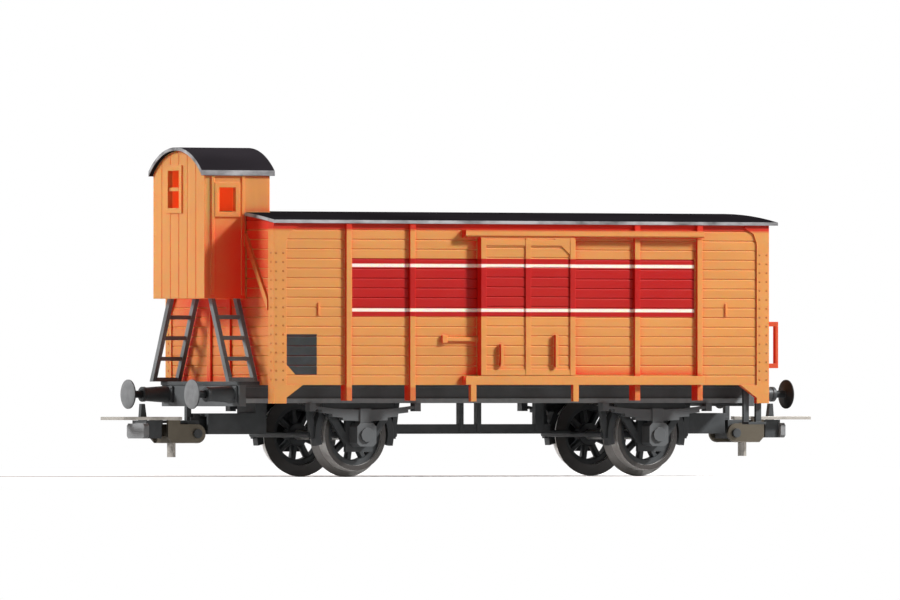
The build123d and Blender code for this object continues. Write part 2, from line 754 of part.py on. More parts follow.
def door_leaf():
    """Boarded sliding leaf with posts, boards, gusset, guide tongues and grab irons."""
    leaf = along_x(boarded(-leaf_outer, -leaf_inner, door_bottom, door_top, board_pitch), door_x0, door_x1)
    post = door_post_width / 2
    sunk = bite - leaf_outer
    for x in (door_x0 + post, middle, door_x1 - post):
        leaf += block(x - post, x + post, -door_face, sunk, door_bottom, door_top)
    board_y = -leaf_outer - door_board
    for z in (door_bottom, door_top - door_board_drop - door_board_height / 2):
        leaf += block(door_x0, door_x1, board_y, sunk, z, z + door_board_height)
    gusset = outline((door_x1, door_top), (door_x1 - door_gusset[0], door_top),
                     (door_x1, door_top - door_gusset[1]))
    leaf += along_y(gusset, board_y, sunk)
    tongue_y = -(leaf_inner + leaf_outer) / 2
    leaf += block(door_x0, door_x1, tongue_y - tongue_sheet / 2, tongue_y + tongue_sheet / 2,
                  door_bottom - tongue_depth, door_bottom + bite)
    leaf += block(door_x0, door_x1, tongue_y - tongue_sheet / 2, tongue_y + tongue_sheet / 2,
                  door_top - bite, door_top + tongue_depth)
    leaf += block(door_x0, door_x0 + door_stop, -leaf_inner - bite, -side_y - tongue_gap,
                  door_bottom, door_top)
    for offset, low, high in grab_irons:
        x0 = door_x0 + offset - grab_bar / 2
        z0, z1 = door_bottom + low, door_bottom + high
        leaf += block(x0, x0 + grab_bar, -door_face - grab_bar, -door_face, z0, z1)
        for z in (z0, z1 - grab_bar):
            leaf += block(x0, x0 + grab_bar, -door_face - grab_bar, sunk, z, z + grab_bar)
    return leaf


def window_frame(width, height):
    """Raised frame round a window, as a flat profile about the window's middle."""
    return Rectangle(width + 2 * frame_width, height + 2 * frame_width) - Rectangle(width, height)


def cab_end_wall():
    """Gable wall of the cab with vertical boards and a two-pane window."""
    panel = upright(boarded(cab_x0, cab_x0 + cab_wall, -cab_y, cab_y, cab_board), cab_bottom, cab_ridge)
    y, z = end_window_offset, cab_ridge - end_window_drop
    frame = Pos(y, z) * window_frame(end_window_width, end_window_height)
    panel += along_x(frame, cab_x0 - frame_proud, cab_x0 + cab_wall)
    pane = (end_window_height - end_window_bar) / 2
    for side in (-1, 1):
        pane_z = z + side * (pane + end_window_bar) / 2
        panel -= block(cab_x0 - wall, cab_x0 + cab_wall + wall, y - end_window_width / 2,
                       y + end_window_width / 2, pane_z - pane / 2, pane_z + pane / 2)
    return panel & under_cab_roof


def cab_side(window_depth):
    """Side of the cab with its moulded door and window, on the near side."""
    panel = along_y(outline((cab_x0 + cab_wall, cab_bottom), (body_x0, cab_bottom),
                            (body_x0, body_roof_low), (cab_x1, body_roof_low), (cab_x1, cab_ridge),
                            (cab_x0 + cab_wall, cab_ridge)), -cab_y, cab_wall - cab_y)
    x, z = cab_x0 + side_window_set, cab_ridge - side_window_drop
    frame = Pos(x, z) * window_frame(side_window_width, side_window_height)
    panel += along_y(frame, -cab_y - frame_proud, bite - cab_y)
    for edge in (cab_x0 + cab_post_set[0], body_x0 - cab_post_set[1]):
        panel += block(edge - cab_post / 2, edge + cab_post / 2, -cab_y - cab_post_proud, bite - cab_y,
                       cab_bottom + cab_post_lift, cab_ridge)
    panel -= block(x - side_window_width / 2, x + side_window_width / 2, -cab_y - wall, window_depth - cab_y,
                   z - side_window_height / 2, z + side_window_height / 2)
    return (panel & under_cab_roof) - over_roof


def cab_rear_wall():
    """Rear wall of the cab, standing on the wagon's roof."""
    boards = boarded(cab_x1, cab_x1 - cab_wall, cab_wall - cab_y, cab_y - cab_wall, cab_board)
    return (upright(boards, body_roof_low, cab_ridge) & under_cab_roof) - over_roof


def arched_sheet(radius, centre, sheet, half_width, x0, x1):
    """Curved roof sheet of even thickness."""
    ring = Pos(0, centre) * (Circle(radius) - Circle(radius - sheet))
    keep = Pos(0, centre + radius) * Rectangle(2 * half_width, 2 * (radius - sqrt(
        (radius - sheet) ** 2 - half_width ** 2) + sheet))
    return along_x(ring & keep, x0, x1)


def wagon_roof():
    """Wagon roof, notched where the cab stands past the end wall."""
    sheet = arched_sheet(roof_radius, roof_centre, roof_sheet, side_y + roof_side_overhang,
                         body_x0 - roof_cab_overhang, body_x1 + roof_plain_overhang)
    notch = cab_y + cab_notch
    return sheet - block(body_x0 - long, body_x0, -notch, notch, cab_bottom, cab_ridge)


def ladder():
    """Sloping ladder from the platform to the cab door, on the near side."""
    x1 = body_x0 - brace_depth - ladder_gap
    x0 = x1 - ladder_width
    half = stringer_depth / 2
    slope = outline((-ladder_foot - half, deck_top), (half - ladder_foot, deck_top),
                    (half - ladder_top, cab_bottom), (-ladder_top - half, cab_bottom))
    piece = along_x(slope, x0, x0 + stringer_width) + along_x(slope, x1 - stringer_width, x1)
    pitch = (cab_bottom - deck_top) / rung_count
    for rung in range(rung_count):
        z = deck_top + rung * pitch
        share = (rung * pitch + rung_height / 2) / (cab_bottom - deck_top)
        y = -ladder_foot + (ladder_foot - ladder_top) * share
        piece += block(x0, x1, y - rung_depth / 2, y + rung_depth / 2, z, z + rung_height)
    return piece


def end_handrail():
    """Upright grab rail on the plain end's near corner."""
    x0 = body_x1 + corner_sheet
    x1 = x0 + handrail_reach
    y0, y1 = -side_y, handrail_depth - side_y
    z0 = wall_bottom + handrail_low
    z1 = z0 + handrail_length
    rail = block(x1 - handrail_bar, x1, y0, y1, z0, z1)
    for z in (z0, z1 - handrail_depth):
        rail += block(x0, x1, y0, y1, z, z + handrail_depth)
    return rail


def corner_step():
    """Shunter's step hung under the plain end's near corner."""
    outer = step_set - side_y
    low = wall_bottom - step_drop
    centre = body_x1 - sum(step_straps) / len(step_straps)
    step = block(centre - step_length / 2, centre + step_length / 2, outer + step_sheet - step_tread,
                 outer + step_sheet, low, low + step_thickness)
    for setback in step_straps:
        x = body_x1 - setback
        step += block(x - strap_width / 2, x + strap_width / 2, outer, outer + step_sheet, low, wall_bottom)
    return step


def sole_bar():
    """Channel-section sole bar, open outwards, on the near side."""
    face = -sole_face
    web = face + sole_flange
    profile = outline((face, sole_bottom), (web + sole_web, sole_bottom), (web + sole_web, wall_bottom),
                      (face, wall_bottom), (face, wall_bottom - top_flange), (web, wall_bottom - top_flange),
                      (web, sole_bottom + bottom_flange), (face, sole_bottom + bottom_flange))
    return along_x(profile, beam_thickness - beam_face, beam_face - beam_thickness)


def buffer_beam():
    return block(beam_face - beam_thickness, beam_face, -sole_face, sole_face,
                 wall_bottom - beam_height, wall_bottom)


# Underframe
export("floor_plate", block(body_x0 + wall, body_x1 - wall, -inner_y, inner_y,
                            wall_bottom, wall_bottom + floor_sheet))
export("sole_bars", sole_bar(), mirrored(sole_bar()))
export("buffer_beams", buffer_beam(), other_end(buffer_beam()))
export("platform_deck", block(-beam_face - deck_overhang, body_x0, -sole_face, sole_face,
                              wall_bottom, deck_top))
for node, maker in (("axle_guards", axle_guard), ("axle_boxes", axle_box), ("leaf_springs", leaf_spring)):
    near = [maker(x) for x in axle_x]
    export(node, *near, *[mirrored(piece) for piece in near])
export("brake_shoes", *[brake_set(x, side) for x in axle_x for side in (-1, 1)])
export("brake_pull_bar", brake_pull_bar())
plain_end = [buffer(side * buffer_spacing / 2) for side in (-1, 1)]
buffers = plain_end + [(other_end(sleeve), other_end(head)) for sleeve, head in plain_end]
export("buffer_sleeves", *[sleeve for sleeve, head in buffers])
export("buffer_heads", *[head for sleeve, head in buffers])
export("coupler_pockets", coupler_pocket(), other_end(coupler_pocket()))

# Body
panel = wall_panel()
export("side_wall_near", panel + latch())
export("side_wall_far", mirrored(panel) + far_side(latch()))
near_posts = [stanchion(x) for x in stanchion_x]
far_posts = [mirrored(post) for post in near_posts]
export("stanchions", *near_posts, *far_posts)
export("end_wall_cab", end_wall(body_x0, body_x0 + wall))
export("end_wall_plain", end_wall(body_x1, body_x1 - wall))
near = end_posts(body_x0, body_x0 - brace_depth, deck_top, cab_bottom, cab_y + cab_notch)
near += end_posts(body_x1, body_x1 + brace_depth, wall_bottom, roof_ridge, end_post_offset)
export("end_posts", *near, *[mirrored(piece) for piece in near])
corners = [corner_plate(-1), corner_plate(1)]
export("corner_plates", *corners, *[mirrored(piece) for piece in corners])
rails = door_rails()
export("door_rails_near", *[rail - near_posts for rail in rails])
export("door_rails_far", *[far_side(rail) - far_posts for rail in rails])
export("wagon_roof", wagon_roof())
export("end_handrails", end_handrail(), mirrored(end_handrail()))
export("corner_steps", corner_step(), mirrored(corner_step()))

# Cab
export("cab_end_wall", cab_end_wall())
export("cab_side_near", cab_side(2 * cab_wall))
export("cab_side_far", mirrored(cab_side(blind_depth)))
export("cab_rear_wall", cab_rear_wall())
export("cab_floor", block(cab_x0 + cab_wall, body_x0, cab_wall - cab_y, cab_y - cab_wall,
                          cab_bottom, cab_bottom + cab_floor_sheet))
export("cab_roof", arched_sheet(cab_roof_radius, cab_roof_centre, cab_roof_sheet, cab_y + cab_roof_side,
                                cab_x0 - cab_roof_front, cab_x1 + cab_roof_rear))
export("ladder_near", ladder())
export("ladder_far", mirrored(ladder()))

# Moving pieces
export("door_near", door_leaf())
export("door_far", far_side(door_leaf()))
for name, x in zip(("cab_end", "plain_end"), axle_x):
    axle, centres, tyres = wheelset(x)
    export(f"axle_{name}", axle)
    export(f"wheel_centres_{name}", *centres)
    export(f"tyres_{name}", *tyres)
export("coupler_head_plain_end", coupler_head())
export("coupler_head_cab_end", other_end(coupler_head()))
export("coupler_loop_plain_end", coupler_loop())
export("coupler_loop_cab_end", other_end(coupler_loop()))
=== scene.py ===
import math

import bmesh
import bpy
from mathutils import Matrix, Vector


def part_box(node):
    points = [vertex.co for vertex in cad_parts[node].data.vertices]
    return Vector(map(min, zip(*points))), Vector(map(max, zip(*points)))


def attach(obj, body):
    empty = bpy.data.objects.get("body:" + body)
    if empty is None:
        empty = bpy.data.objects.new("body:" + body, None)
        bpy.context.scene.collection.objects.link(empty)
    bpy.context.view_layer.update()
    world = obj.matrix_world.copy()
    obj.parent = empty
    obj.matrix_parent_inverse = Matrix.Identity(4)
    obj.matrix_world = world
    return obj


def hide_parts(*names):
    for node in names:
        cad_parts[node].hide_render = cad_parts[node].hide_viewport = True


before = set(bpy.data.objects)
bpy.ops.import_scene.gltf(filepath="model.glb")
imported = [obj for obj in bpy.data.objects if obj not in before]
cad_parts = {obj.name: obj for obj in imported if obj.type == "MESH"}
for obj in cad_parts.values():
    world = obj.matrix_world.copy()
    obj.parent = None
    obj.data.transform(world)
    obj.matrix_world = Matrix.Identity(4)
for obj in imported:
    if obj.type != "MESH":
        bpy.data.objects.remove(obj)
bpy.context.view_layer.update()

MM = 0.001
RAIL = 0.95                   # top of the rail in mm above the floor, on which the flanges stand


def limits(node):
    """Lowest and highest corner of a resting node in mm, heights above the rail."""
    return [corner / MM - Vector((0, 0, RAIL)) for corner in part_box(node)]


def middle(node):
    """Middle of a resting node's box in mm, height above the rail."""
    low, high = limits(node)
    return (low + high) / 2


# Colours, as linear values
ORANGE = (0.60, 0.265, 0.075, 1)
# Painted shade and painted light in the grooves, then painted red shade in hollows
PAINTED_GROOVE_SHADE = (0.50, 0.085, 0.018, 1)
PAINTED_GROOVE_LIGHT = (0.80, 0.46, 0.19, 1)
RED_SHADE = (0.50, 0.015, 0.008, 1)
BAND_RED = (0.40, 0.005, 0.006, 1)
# painted shade on the band, in its grooves and hollows
BAND_PAINTED_SHADE = (0.20, 0.003, 0.003, 1)
# Colours of the painted glow (emission): red in the painted shade, orange-red inside the cab
GLOW_RED = (1.0, 0.012, 0.006, 1)
INSIDE_GLOW = (1.0, 0.085, 0.018, 1)
LINE_WHITE = (0.86, 0.74, 0.64, 1)
BOARD_GREY = (0.028, 0.030, 0.031, 1)
ROOF_DARK = (0.0048, 0.0042, 0.0050, 1)
ROOF_EDGE = (0.40, 0.40, 0.41, 1)
FRAME_DARK = (0.022, 0.025, 0.027, 1)
# Pale edge colours of frame and ladders: partly wear, partly a painted highlight
FRAME_SCUFF_AND_HIGHLIGHT = (0.15, 0.16, 0.165, 1)
LADDER_GREY = (0.085, 0.092, 0.096, 1)
LADDER_SCUFF_AND_HIGHLIGHT = (0.46, 0.47, 0.475, 1)
BUFFER_GREY = (0.22, 0.225, 0.23, 1)
HEAD_DARK = (0.008, 0.009, 0.010, 1)
TYRE_STEEL = (0.88, 0.86, 0.83, 1)
TYRE_DARK = (0.035, 0.030, 0.027, 1)
LOOP_NICKEL = (0.34, 0.32, 0.29, 1)
CHEEK_BROWN = (0.088, 0.076, 0.058, 1)
PLATE_GREY = (0.24, 0.245, 0.25, 1)
FLANGE_GREY = (0.25, 0.27, 0.275, 1)
SOLE_GREY = (0.044, 0.046, 0.047, 1)
BEAM_GREY = (0.075, 0.080, 0.083, 1)
AMBIENT = (0.19, 0.16, 0.145, 1)
FLOOR_LIT = (0.35, 0.35, 0.35, 1)
FLOOR_SHOWN = (0.86, 0.86, 0.86, 1)
WHITE = (1, 1, 1, 1)

# Values between which fine grain, wide clouds, tarnish and groove depth go from one look to the other
GRAIN = (0.2, 0.8)
CLOUD = (0.3, 0.7)
TARNISH = (0.42, 0.72)
DULLED = (0.3, 0.75)
GROOVE = (0.15, 0.7)
TONES = (0.96, 1.03)          # darkest and brightest tone within one plastic

# Soft edges of painted areas, edge rounding and depth of the bump, in mm
SOFT = 0.06
PALE_FRONT_SOFT = 0.04
ROUNDING = 0.08
BUMP_DEPTH = 0.05

# Painted band on the walls and doors, in mm: half length along the body, heights above the rail
BODY_MID = middle("stanchions").x
BAND_HALF = 31.6
BAND_HEIGHTS = (24.35, 33.5)
LINE_HEIGHTS = ((25.11, 25.61), (32.12, 32.64))
PAINT_FACE = 16.5             # paint lies outside this distance from the middle

# Blank board on the near wall, in mm, with its lower corner cut off; half a turn puts it on the far wall
PATCH_X = (-41.66, -36.16)
PATCH_Z = (15.16, 21.54)
PATCH_CORNER = 1.6

# Painted red shade: heights in mm of the roof's lower edge, the walls' lower edge and the top of wide shade
EAVE = limits("wagon_roof")[0].z
FEET = limits("side_wall_near")[0].z - 0.15
SHADE_TOP = limits("wagon_roof")[1].z + 0.5
SHADE_FADE = 4.0              # wide shade fades out over this height
# The painted shadow under the eave, then the painted shade on the feet below the walls
EAVE_SHADOW_STRIP = (1.25, 0.8)      # the strip under the eave starts and is full this far below it
FEET_SHADE_STRIP = 0.4
LOW_SHADE = (6, 15)           # wide shade is weak and full again this far above the walls' lower edge

# Reach in mm of the three kinds of hollow, share of painted red shade in them, and strength of the painted
# red glow (emission) in shade and inside the cab
WIDE_SHADE = 13.0
NEAR_SHADE = 2.2
GROOVE_REACH = 0.5
RED_SHARE = 0.95
SHADE_GLOW = 0.14
CAB_GLOW = 0.42

# Inside of the cab in mm, with a little of its walls
LINING = 0.2
CAB_INSIDE_X = (limits("cab_end_wall")[1].x - LINING, limits("cab_rear_wall")[0].x + LINING)
CAB_INSIDE_Y = limits("cab_side_far")[0].y + LINING

# Stretch of the grain by the axis along which boards follow each other, and pitch of the boards in mm
BOARD_STRETCH = {"z": (0.12, 1, 1), "y": (1, 1, 0.12), None: (1, 1, 1)}
WALL_PITCH = 1.5
CAB_PITCH = 2.65

# Pale rim of the roofs in mm: it starts and is full this far from the edge
RIM = (0.10, 0.02)

# Buffers in mm, heights above the rail
HEADS_LOW, HEADS_HIGH = limits("buffer_heads")
BUFFER_FACE = HEADS_HIGH.x
BUFFER_Z = (HEADS_LOW.z + HEADS_HIGH.z) / 2
BUFFER_Y = HEADS_HIGH.y - (HEADS_HIGH.z - BUFFER_Z)
BEAM_FACE = limits("buffer_beams")[1].x
SLEEVE_NOSE = limits("buffer_sleeves")[1].x
HEAD_R = 2.32
SHANK_R = 0.58
SLEEVE_ROOT_R = 1.34
SLEEVE_NOSE_R = 1.19
SLEEVE_BORE_R = 0.66
BASE_HALF = (1.7, 1.3)        # half width and half height of the sleeve's base plate
BASE_THICK = 0.35
BASE_BEVEL = 0.08
BOLT_AT = (1.38, 0.95)
BOLT = (0.2, 0.16)            # radius and height of a bolt head

# Wheel centres in mm: faces of the rim, radii, and half widths of a spoke by distance from the axle
RIM_INNER, RIM_OUTER = 7.75, 9.45
RIM_BORE_R = 3.94
RIM_R = 4.83
HUB_R = 1.87
HUB_BORE_R = 0.82
HUB_NOSE = 0.5
CHAMFER = 0.12
SPOKES = 9
SPOKE_TAPER = ((1.6, 0.52), (2.6, 0.46), (4.05, 0.50))

# Rivets on the corner plates in mm
PLATES_LOW, PLATES_HIGH = limits("corner_plates")
RIVET_LOW = 14.4
RIVET_PITCH = 1.42
RIVET_ROWS = 15
RIVET_COLUMNS = (0.45, 1.75)  # distances from the end of the wagon
RIVET_RETURN_Y = 16.1
RIVET = (0.19, 0.10)          # radius and height of a rivet head

# Pale fronts and flanges in mm: past a distance from the middle, below a height
SOLE_FLANGE = (limits("sole_bars")[1].y - 0.1, limits("sole_bars")[0].z + 0.75)
HEAD_FRONT = (BUFFER_FACE - 0.18, 20.0)
COUPLER_FRONT = (58.4, 7.6)
CHEEK_HEIGHTS = (4.45, 8.0)   # the brown cheeks of the coupler loops

# Edges of the drawn pieces that bend more than this stay sharp
SHARP_ANGLE = math.radians(38)

# Camera in mm, heights above the rail
LENS = 710.5
CAMERA_PLACE = (-1450.4, -2420.9, 12.58)
CAMERA_AIM = (-1.285, 0.770, 27.07)

# Lamps in metres and watts: place from the wagon's middle, side of the square, power
WAGON_MIDDLE = Vector((0, 0, 0.025))
LAMPS = {"key": ((0.67, -0.48, 0.57), 0.13, 18.2),
         "cab_light": ((-0.72, 0.42, 0.36), 0.2, 8.4),
         "top": ((0.0, 0.1, 1.0), 0.9, 1.0)}

# Floor in metres: half its side, and the distances between which it turns white
FLOOR_HALF = 4.0
FLOOR_CLEARS = (0.10, 0.30)


def scaled(colour, factor):
    """A colour made brighter or darker."""
    return (*(factor * part for part in colour[:3]), 1)


class Nodes:
    """Short helper that adds shader nodes to one material and joins them."""

    def __init__(self, name):
        self.material = bpy.data.materials.new(name)
        self.material.use_nodes = True
        self.tree = self.material.node_tree
        self.shader = self.tree.nodes["Principled BSDF"]

    def add(self, kind, **settings):
        made = self.tree.nodes.new(kind)
        for key, value in settings.items():
            setattr(made, key, value)
        return made

    def join(self, source, target):
        self.tree.links.new(source, target)

    def put(self, socket, value):
        """Joins a socket to a socket, or sets it to a plain value."""
        if isinstance(value, bpy.types.NodeSocket):
            self.join(value, socket)
        else:
            socket.default_value = value

    def set(self, name, value):
        """Feeds an input of the shader."""
        self.put(self.shader.inputs[name], value)

    def math(self, operation, a, b=0.0, clamp=False):
        made = self.add("ShaderNodeMath", operation=operation, use_clamp=clamp)
        self.put(made.inputs[0], a)
        self.put(made.inputs[1], b)
        return made.outputs[0]

    def times(self, a, b):
        return self.math("MULTIPLY", a, b)

    def most(self, a, b):
        return self.math("MAXIMUM", a, b)

    def mix(self, factor, a, b, blend="MIX"):
        made = self.add("ShaderNodeMix", data_type="RGBA", blend_type=blend)
        self.put(made.inputs["Factor"], factor)
        self.put(made.inputs["A"], a)
        self.put(made.inputs["B"], b)
        return made.outputs["Result"]

    def ramp(self, value, low, high, to_low=0.0, to_high=1.0):
        made = self.add("ShaderNodeMapRange")
        for socket, number in zip(made.inputs[:5], (value, low, high, to_low, to_high)):
            self.put(socket, number)
        return made.outputs[0]

    def split(self, kind):
        """X, Y and Z of a texture coordinate of this kind."""
        coords = self.add("ShaderNodeTexCoord")
        made = self.add("ShaderNodeSeparateXYZ")
        self.join(coords.outputs[kind], made.inputs[0])
        return made.outputs[:]

    def place(self):
        """Position on the resting part in mm, as separate X, Y and Z above the rail."""
        x, y, z = (self.times(part, 1 / MM) for part in self.split("Object"))
        return x, y, self.math("SUBTRACT", z, RAIL)

    def facing(self, axis):
        """How far a face looks along X, Y or Z (0, 1 or 2), from -1 to 1."""
        return self.split("Normal")[axis]

    def noise(self, scale, detail, stretch=(1, 1, 1)):
        """Noise with this many features per metre."""
        coords = self.add("ShaderNodeTexCoord")
        mapping = self.add("ShaderNodeMapping")
        mapping.inputs["Scale"].default_value = stretch
        self.join(coords.outputs["Object"], mapping.inputs["Vector"])
        made = self.add("ShaderNodeTexNoise")
        self.join(mapping.outputs[0], made.inputs["Vector"])
        made.inputs["Scale"].default_value = scale
        made.inputs["Detail"].default_value = detail
        made.inputs["Roughness"].default_value = 0.55
        return made.outputs["Fac"]

    def between(self, value, low, high):
        """1 where a value lies between two limits, with a soft edge."""
        rise = self.ramp(value, low - SOFT, low + SOFT)
        fall = self.ramp(value, high - SOFT, high + SOFT, 1.0, 0.0)
        return self.times(rise, fall)

    def rounded(self, radius):
        """Normal with the edges rounded by a radius in mm."""
        bevel = self.add("ShaderNodeBevel", samples=4)
        bevel.inputs["Radius"].default_value = radius * MM
        return bevel.outputs[0]

    def edges(self, radius):
        """1 on sharp edges, 0 on flat faces."""
        geometry = self.add("ShaderNodeNewGeometry")
        dot = self.add("ShaderNodeVectorMath", operation="DOT_PRODUCT")
        self.join(self.rounded(radius), dot.inputs[0])
        self.join(geometry.outputs["Normal"], dot.inputs[1])
        return self.ramp(dot.outputs["Value"], 0.985, 0.80)

    def hollows(self, distance):
        """1 deep in corners and grooves, 0 on open faces."""
        shade = self.add("ShaderNodeAmbientOcclusion", samples=5)
        shade.inputs["Distance"].default_value = distance * MM
        return self.math("SUBTRACT", 1.0, shade.outputs["AO"], clamp=True)

    def finish(self, colour, roughness, height, bump):
        """Feeds colour, roughness and bump to the shader, with the edges a little rounded."""
        self.set("Base Color", colour)
        self.set("Roughness", roughness)
        made = self.add("ShaderNodeBump")
        made.inputs["Strength"].default_value = bump
        made.inputs["Distance"].default_value = BUMP_DEPTH * MM
        self.join(height, made.inputs["Height"])
        self.join(self.rounded(ROUNDING), made.inputs["Normal"])
        self.set("Normal", made.outputs[0])
        return self.material


def orange_tones(n, place, boards, pitch, tone, grain, cloud):
    """Orange with fine grain, wide clouds and a slightly different tone on each board."""
    low, high = TONES
    shade = n.times(n.ramp(grain, *GRAIN, low * tone, high * tone), n.ramp(cloud, *CLOUD, low, high))
    if boards:
        board = n.add("ShaderNodeTexWhiteNoise", noise_dimensions="1D")
        along = place["xyz".index(boards)]
        n.join(n.math("FLOOR", n.math("DIVIDE", along, pitch)), board.inputs["W"])
        shade = n.times(shade, n.ramp(board.outputs["Value"], 0, 1, low, high))
    tint = n.add("ShaderNodeCombineColor")
    for socket in tint.inputs:
        n.join(shade, socket)
    return n.mix(1.0, ORANGE, tint.outputs[0], "MULTIPLY")


def shaded_corners(n, z, groove, boards, deep_range, low_shade):
    """Mask of painted red shade: 1 in wide hollows below the roof and in near corners, less in grooves and
    on upper faces.
    """
    weak, full = LOW_SHADE
    deep = n.times(n.ramp(n.hollows(WIDE_SHADE), *deep_range), n.ramp(z, SHADE_TOP, SHADE_TOP - SHADE_FADE))
    deep = n.times(deep, n.ramp(z, FEET + weak, FEET + full, low_shade, 1.0))
    corner = n.most(deep, n.ramp(n.hollows(NEAR_SHADE), 0.25, 0.48))
    corner = n.times(corner, n.ramp(groove, 0.25, 0.6, 1.0, 0.0 if boards else 0.6))
    return n.times(corner, n.ramp(n.facing(2), 0.2, 0.8, 1.0, 0.2))


def wall_paint(n, place, colour, rough, groove, corner, cloud):
    """Red band with two white lines, and the blank board, on the outer faces of walls and doors."""
    x, y, z = place
    side = n.ramp(y, -1, 1, 1.0, -1.0)
    outward = n.ramp(n.times(n.facing(1), side), 0.5, 0.4)
    outer = n.times(n.ramp(n.math("ABSOLUTE", y), PAINT_FACE - 0.1, PAINT_FACE), outward)
    along = n.math("SUBTRACT", x, BODY_MID)

    inside = n.times(n.between(n.math("ABSOLUTE", along), -1, BAND_HALF), outer)
    band = n.times(inside, n.between(z, *BAND_HEIGHTS))
    fade = n.ramp(n.noise(260, 4, (0.4, 1, 1)), 0.25, 0.75, 0.975, 1.0)
    # The band is painted darker in its grooves and in the painted red shade
    dark = n.most(n.ramp(groove, *GROOVE, 0, 0.6), n.times(corner, 0.6))
    colour = n.mix(n.times(band, fade), colour, n.mix(dark, BAND_RED, BAND_PAINTED_SHADE))
    for heights in LINE_HEIGHTS:
        line = n.times(inside, n.between(z, *heights))
        colour = n.mix(n.times(line, fade), colour, LINE_WHITE)

    local = n.times(along, side)
    low_x, high_x = (edge - BODY_MID for edge in PATCH_X)
    patch = n.times(n.times(n.between(local, low_x, high_x), n.between(z, *PATCH_Z)), outer)
    cut = n.math("ADD", n.math("SUBTRACT", local, low_x), n.math("SUBTRACT", z, PATCH_Z[0]))
    patch = n.times(patch, n.ramp(cut, PATCH_CORNER - SOFT, PATCH_CORNER + SOFT))
    chalk = n.mix(n.ramp(n.noise(500, 4), 0.4, 0.8, 0, 0.5), BOARD_GREY, scaled(BOARD_GREY, 2))
    colour = n.mix(patch, colour, chalk)
    rough = n.mix(n.most(band, patch), rough, n.ramp(cloud, *CLOUD, 0.36, 0.44))
    return colour, rough


def body_plastic(name, painted=False, boards=None, pitch=WALL_PITCH, glow=0.4, tone=1.0, cab=False,
                 deep_range=(0.18, 0.40), feet_shade=0.0, low_shade=1.0, fill=(PAINTED_GROOVE_SHADE, 0.2)):
    """Orange plastic with painted red shade and a painted red glow (emission) in hollows and corners.

    painted adds the band, its lines and the blank board. boards says along which axis the boards
    follow each other, at a pitch in mm. glow is how far light spreads in the plastic, in mm. The cab's
    inside gets a painted glow (emission). deep_range sets how soon wide hollows get painted red shade,
    low_shade how much of that is left low down, feet_shade how much painted red shade lies below the
    walls. fill is the colour and share in the grooves: darker paints shade there, paler paints light.
    """
    n = Nodes(name)
    place = n.place()
    x, y, z = place
    grain = n.noise(1400, 4, BOARD_STRETCH[boards])
    cloud = n.noise(70, 3)
    groove = n.hollows(GROOVE_REACH)
    corner = shaded_corners(n, z, groove, boards, deep_range, low_shade)
    # Painted red glow (emission) in the painted shade
    light = n.times(corner, SHADE_GLOW)
    # Painted shadow strip under the eave, and painted shade on the feet below the walls
    if not cab:
        start, full = EAVE_SHADOW_STRIP
        corner = n.most(corner, n.ramp(z, EAVE - start, EAVE - full))
        corner = n.most(corner, n.ramp(z, FEET, FEET - FEET_SHADE_STRIP, 0.0, feet_shade))
    groove_colour, share = fill
    colour = orange_tones(n, place, boards, pitch, tone, grain, cloud)
    # Grooves get the fill's colour: painted shade when it is darker, painted light when it is paler
    colour = n.mix(n.ramp(groove, *GROOVE, 0, share), colour, groove_colour)
    # Painted red shade where the mask says
    colour = n.mix(n.times(corner, RED_SHARE), colour, RED_SHADE)
    rough = n.ramp(grain, *GRAIN, 0.44, 0.58)
    if painted:
        colour, rough = wall_paint(n, place, colour, rough, groove, corner, cloud)
    n.set("Emission Color", GLOW_RED)
    # The cab's inside gets a painted glow (emission)
    if cab:
        inside = n.between(n.math("ABSOLUTE", y), -1, CAB_INSIDE_Y)
        inside = n.times(n.between(x, *CAB_INSIDE_X), inside)
        light = n.most(light, n.times(inside, CAB_GLOW))
        n.set("Emission Color", n.mix(inside, GLOW_RED, INSIDE_GLOW))
    n.set("Emission Strength", light)
    n.set("Subsurface Weight", 0.6)
    n.set("Subsurface Radius", (1.0, 0.08, 0.025))
    n.set("Subsurface Scale", glow * MM)
    n.set("Specular IOR Level", 0.16)
    return n.finish(colour, rough, grain, 0.1)


def roof_plastic(node, tone):
    """Dark matt roof sheet whose rim is pale grey, mottled."""
    low, high = limits(node)
    start, full = RIM
    n = Nodes(node + "_plastic")
    x, y, _ = n.place()
    grain = n.noise(2600, 4)
    cloud = n.noise(90, 3, (0.5, 1, 1))
    colour = n.mix(n.ramp(cloud, *CLOUD), scaled(ROOF_DARK, 0.8 * tone), scaled(ROOF_DARK, 1.3 * tone))
    sides = n.ramp(n.math("ABSOLUTE", y), high.y - start, high.y - full)
    ends = n.most(n.ramp(x, low.x + start, low.x + full), n.ramp(x, high.x - start, high.x - full))
    rim_mottle = n.ramp(n.noise(420, 5, (0.5, 1, 1)), 0.32, 0.62, 0.3, 1.0)
    colour = n.mix(n.times(n.most(sides, ends), rim_mottle), colour, ROOF_EDGE)
    n.set("Specular IOR Level", 0.0)
    return n.finish(colour, n.ramp(grain, *GRAIN, 0.55, 0.7), grain, 0.2)


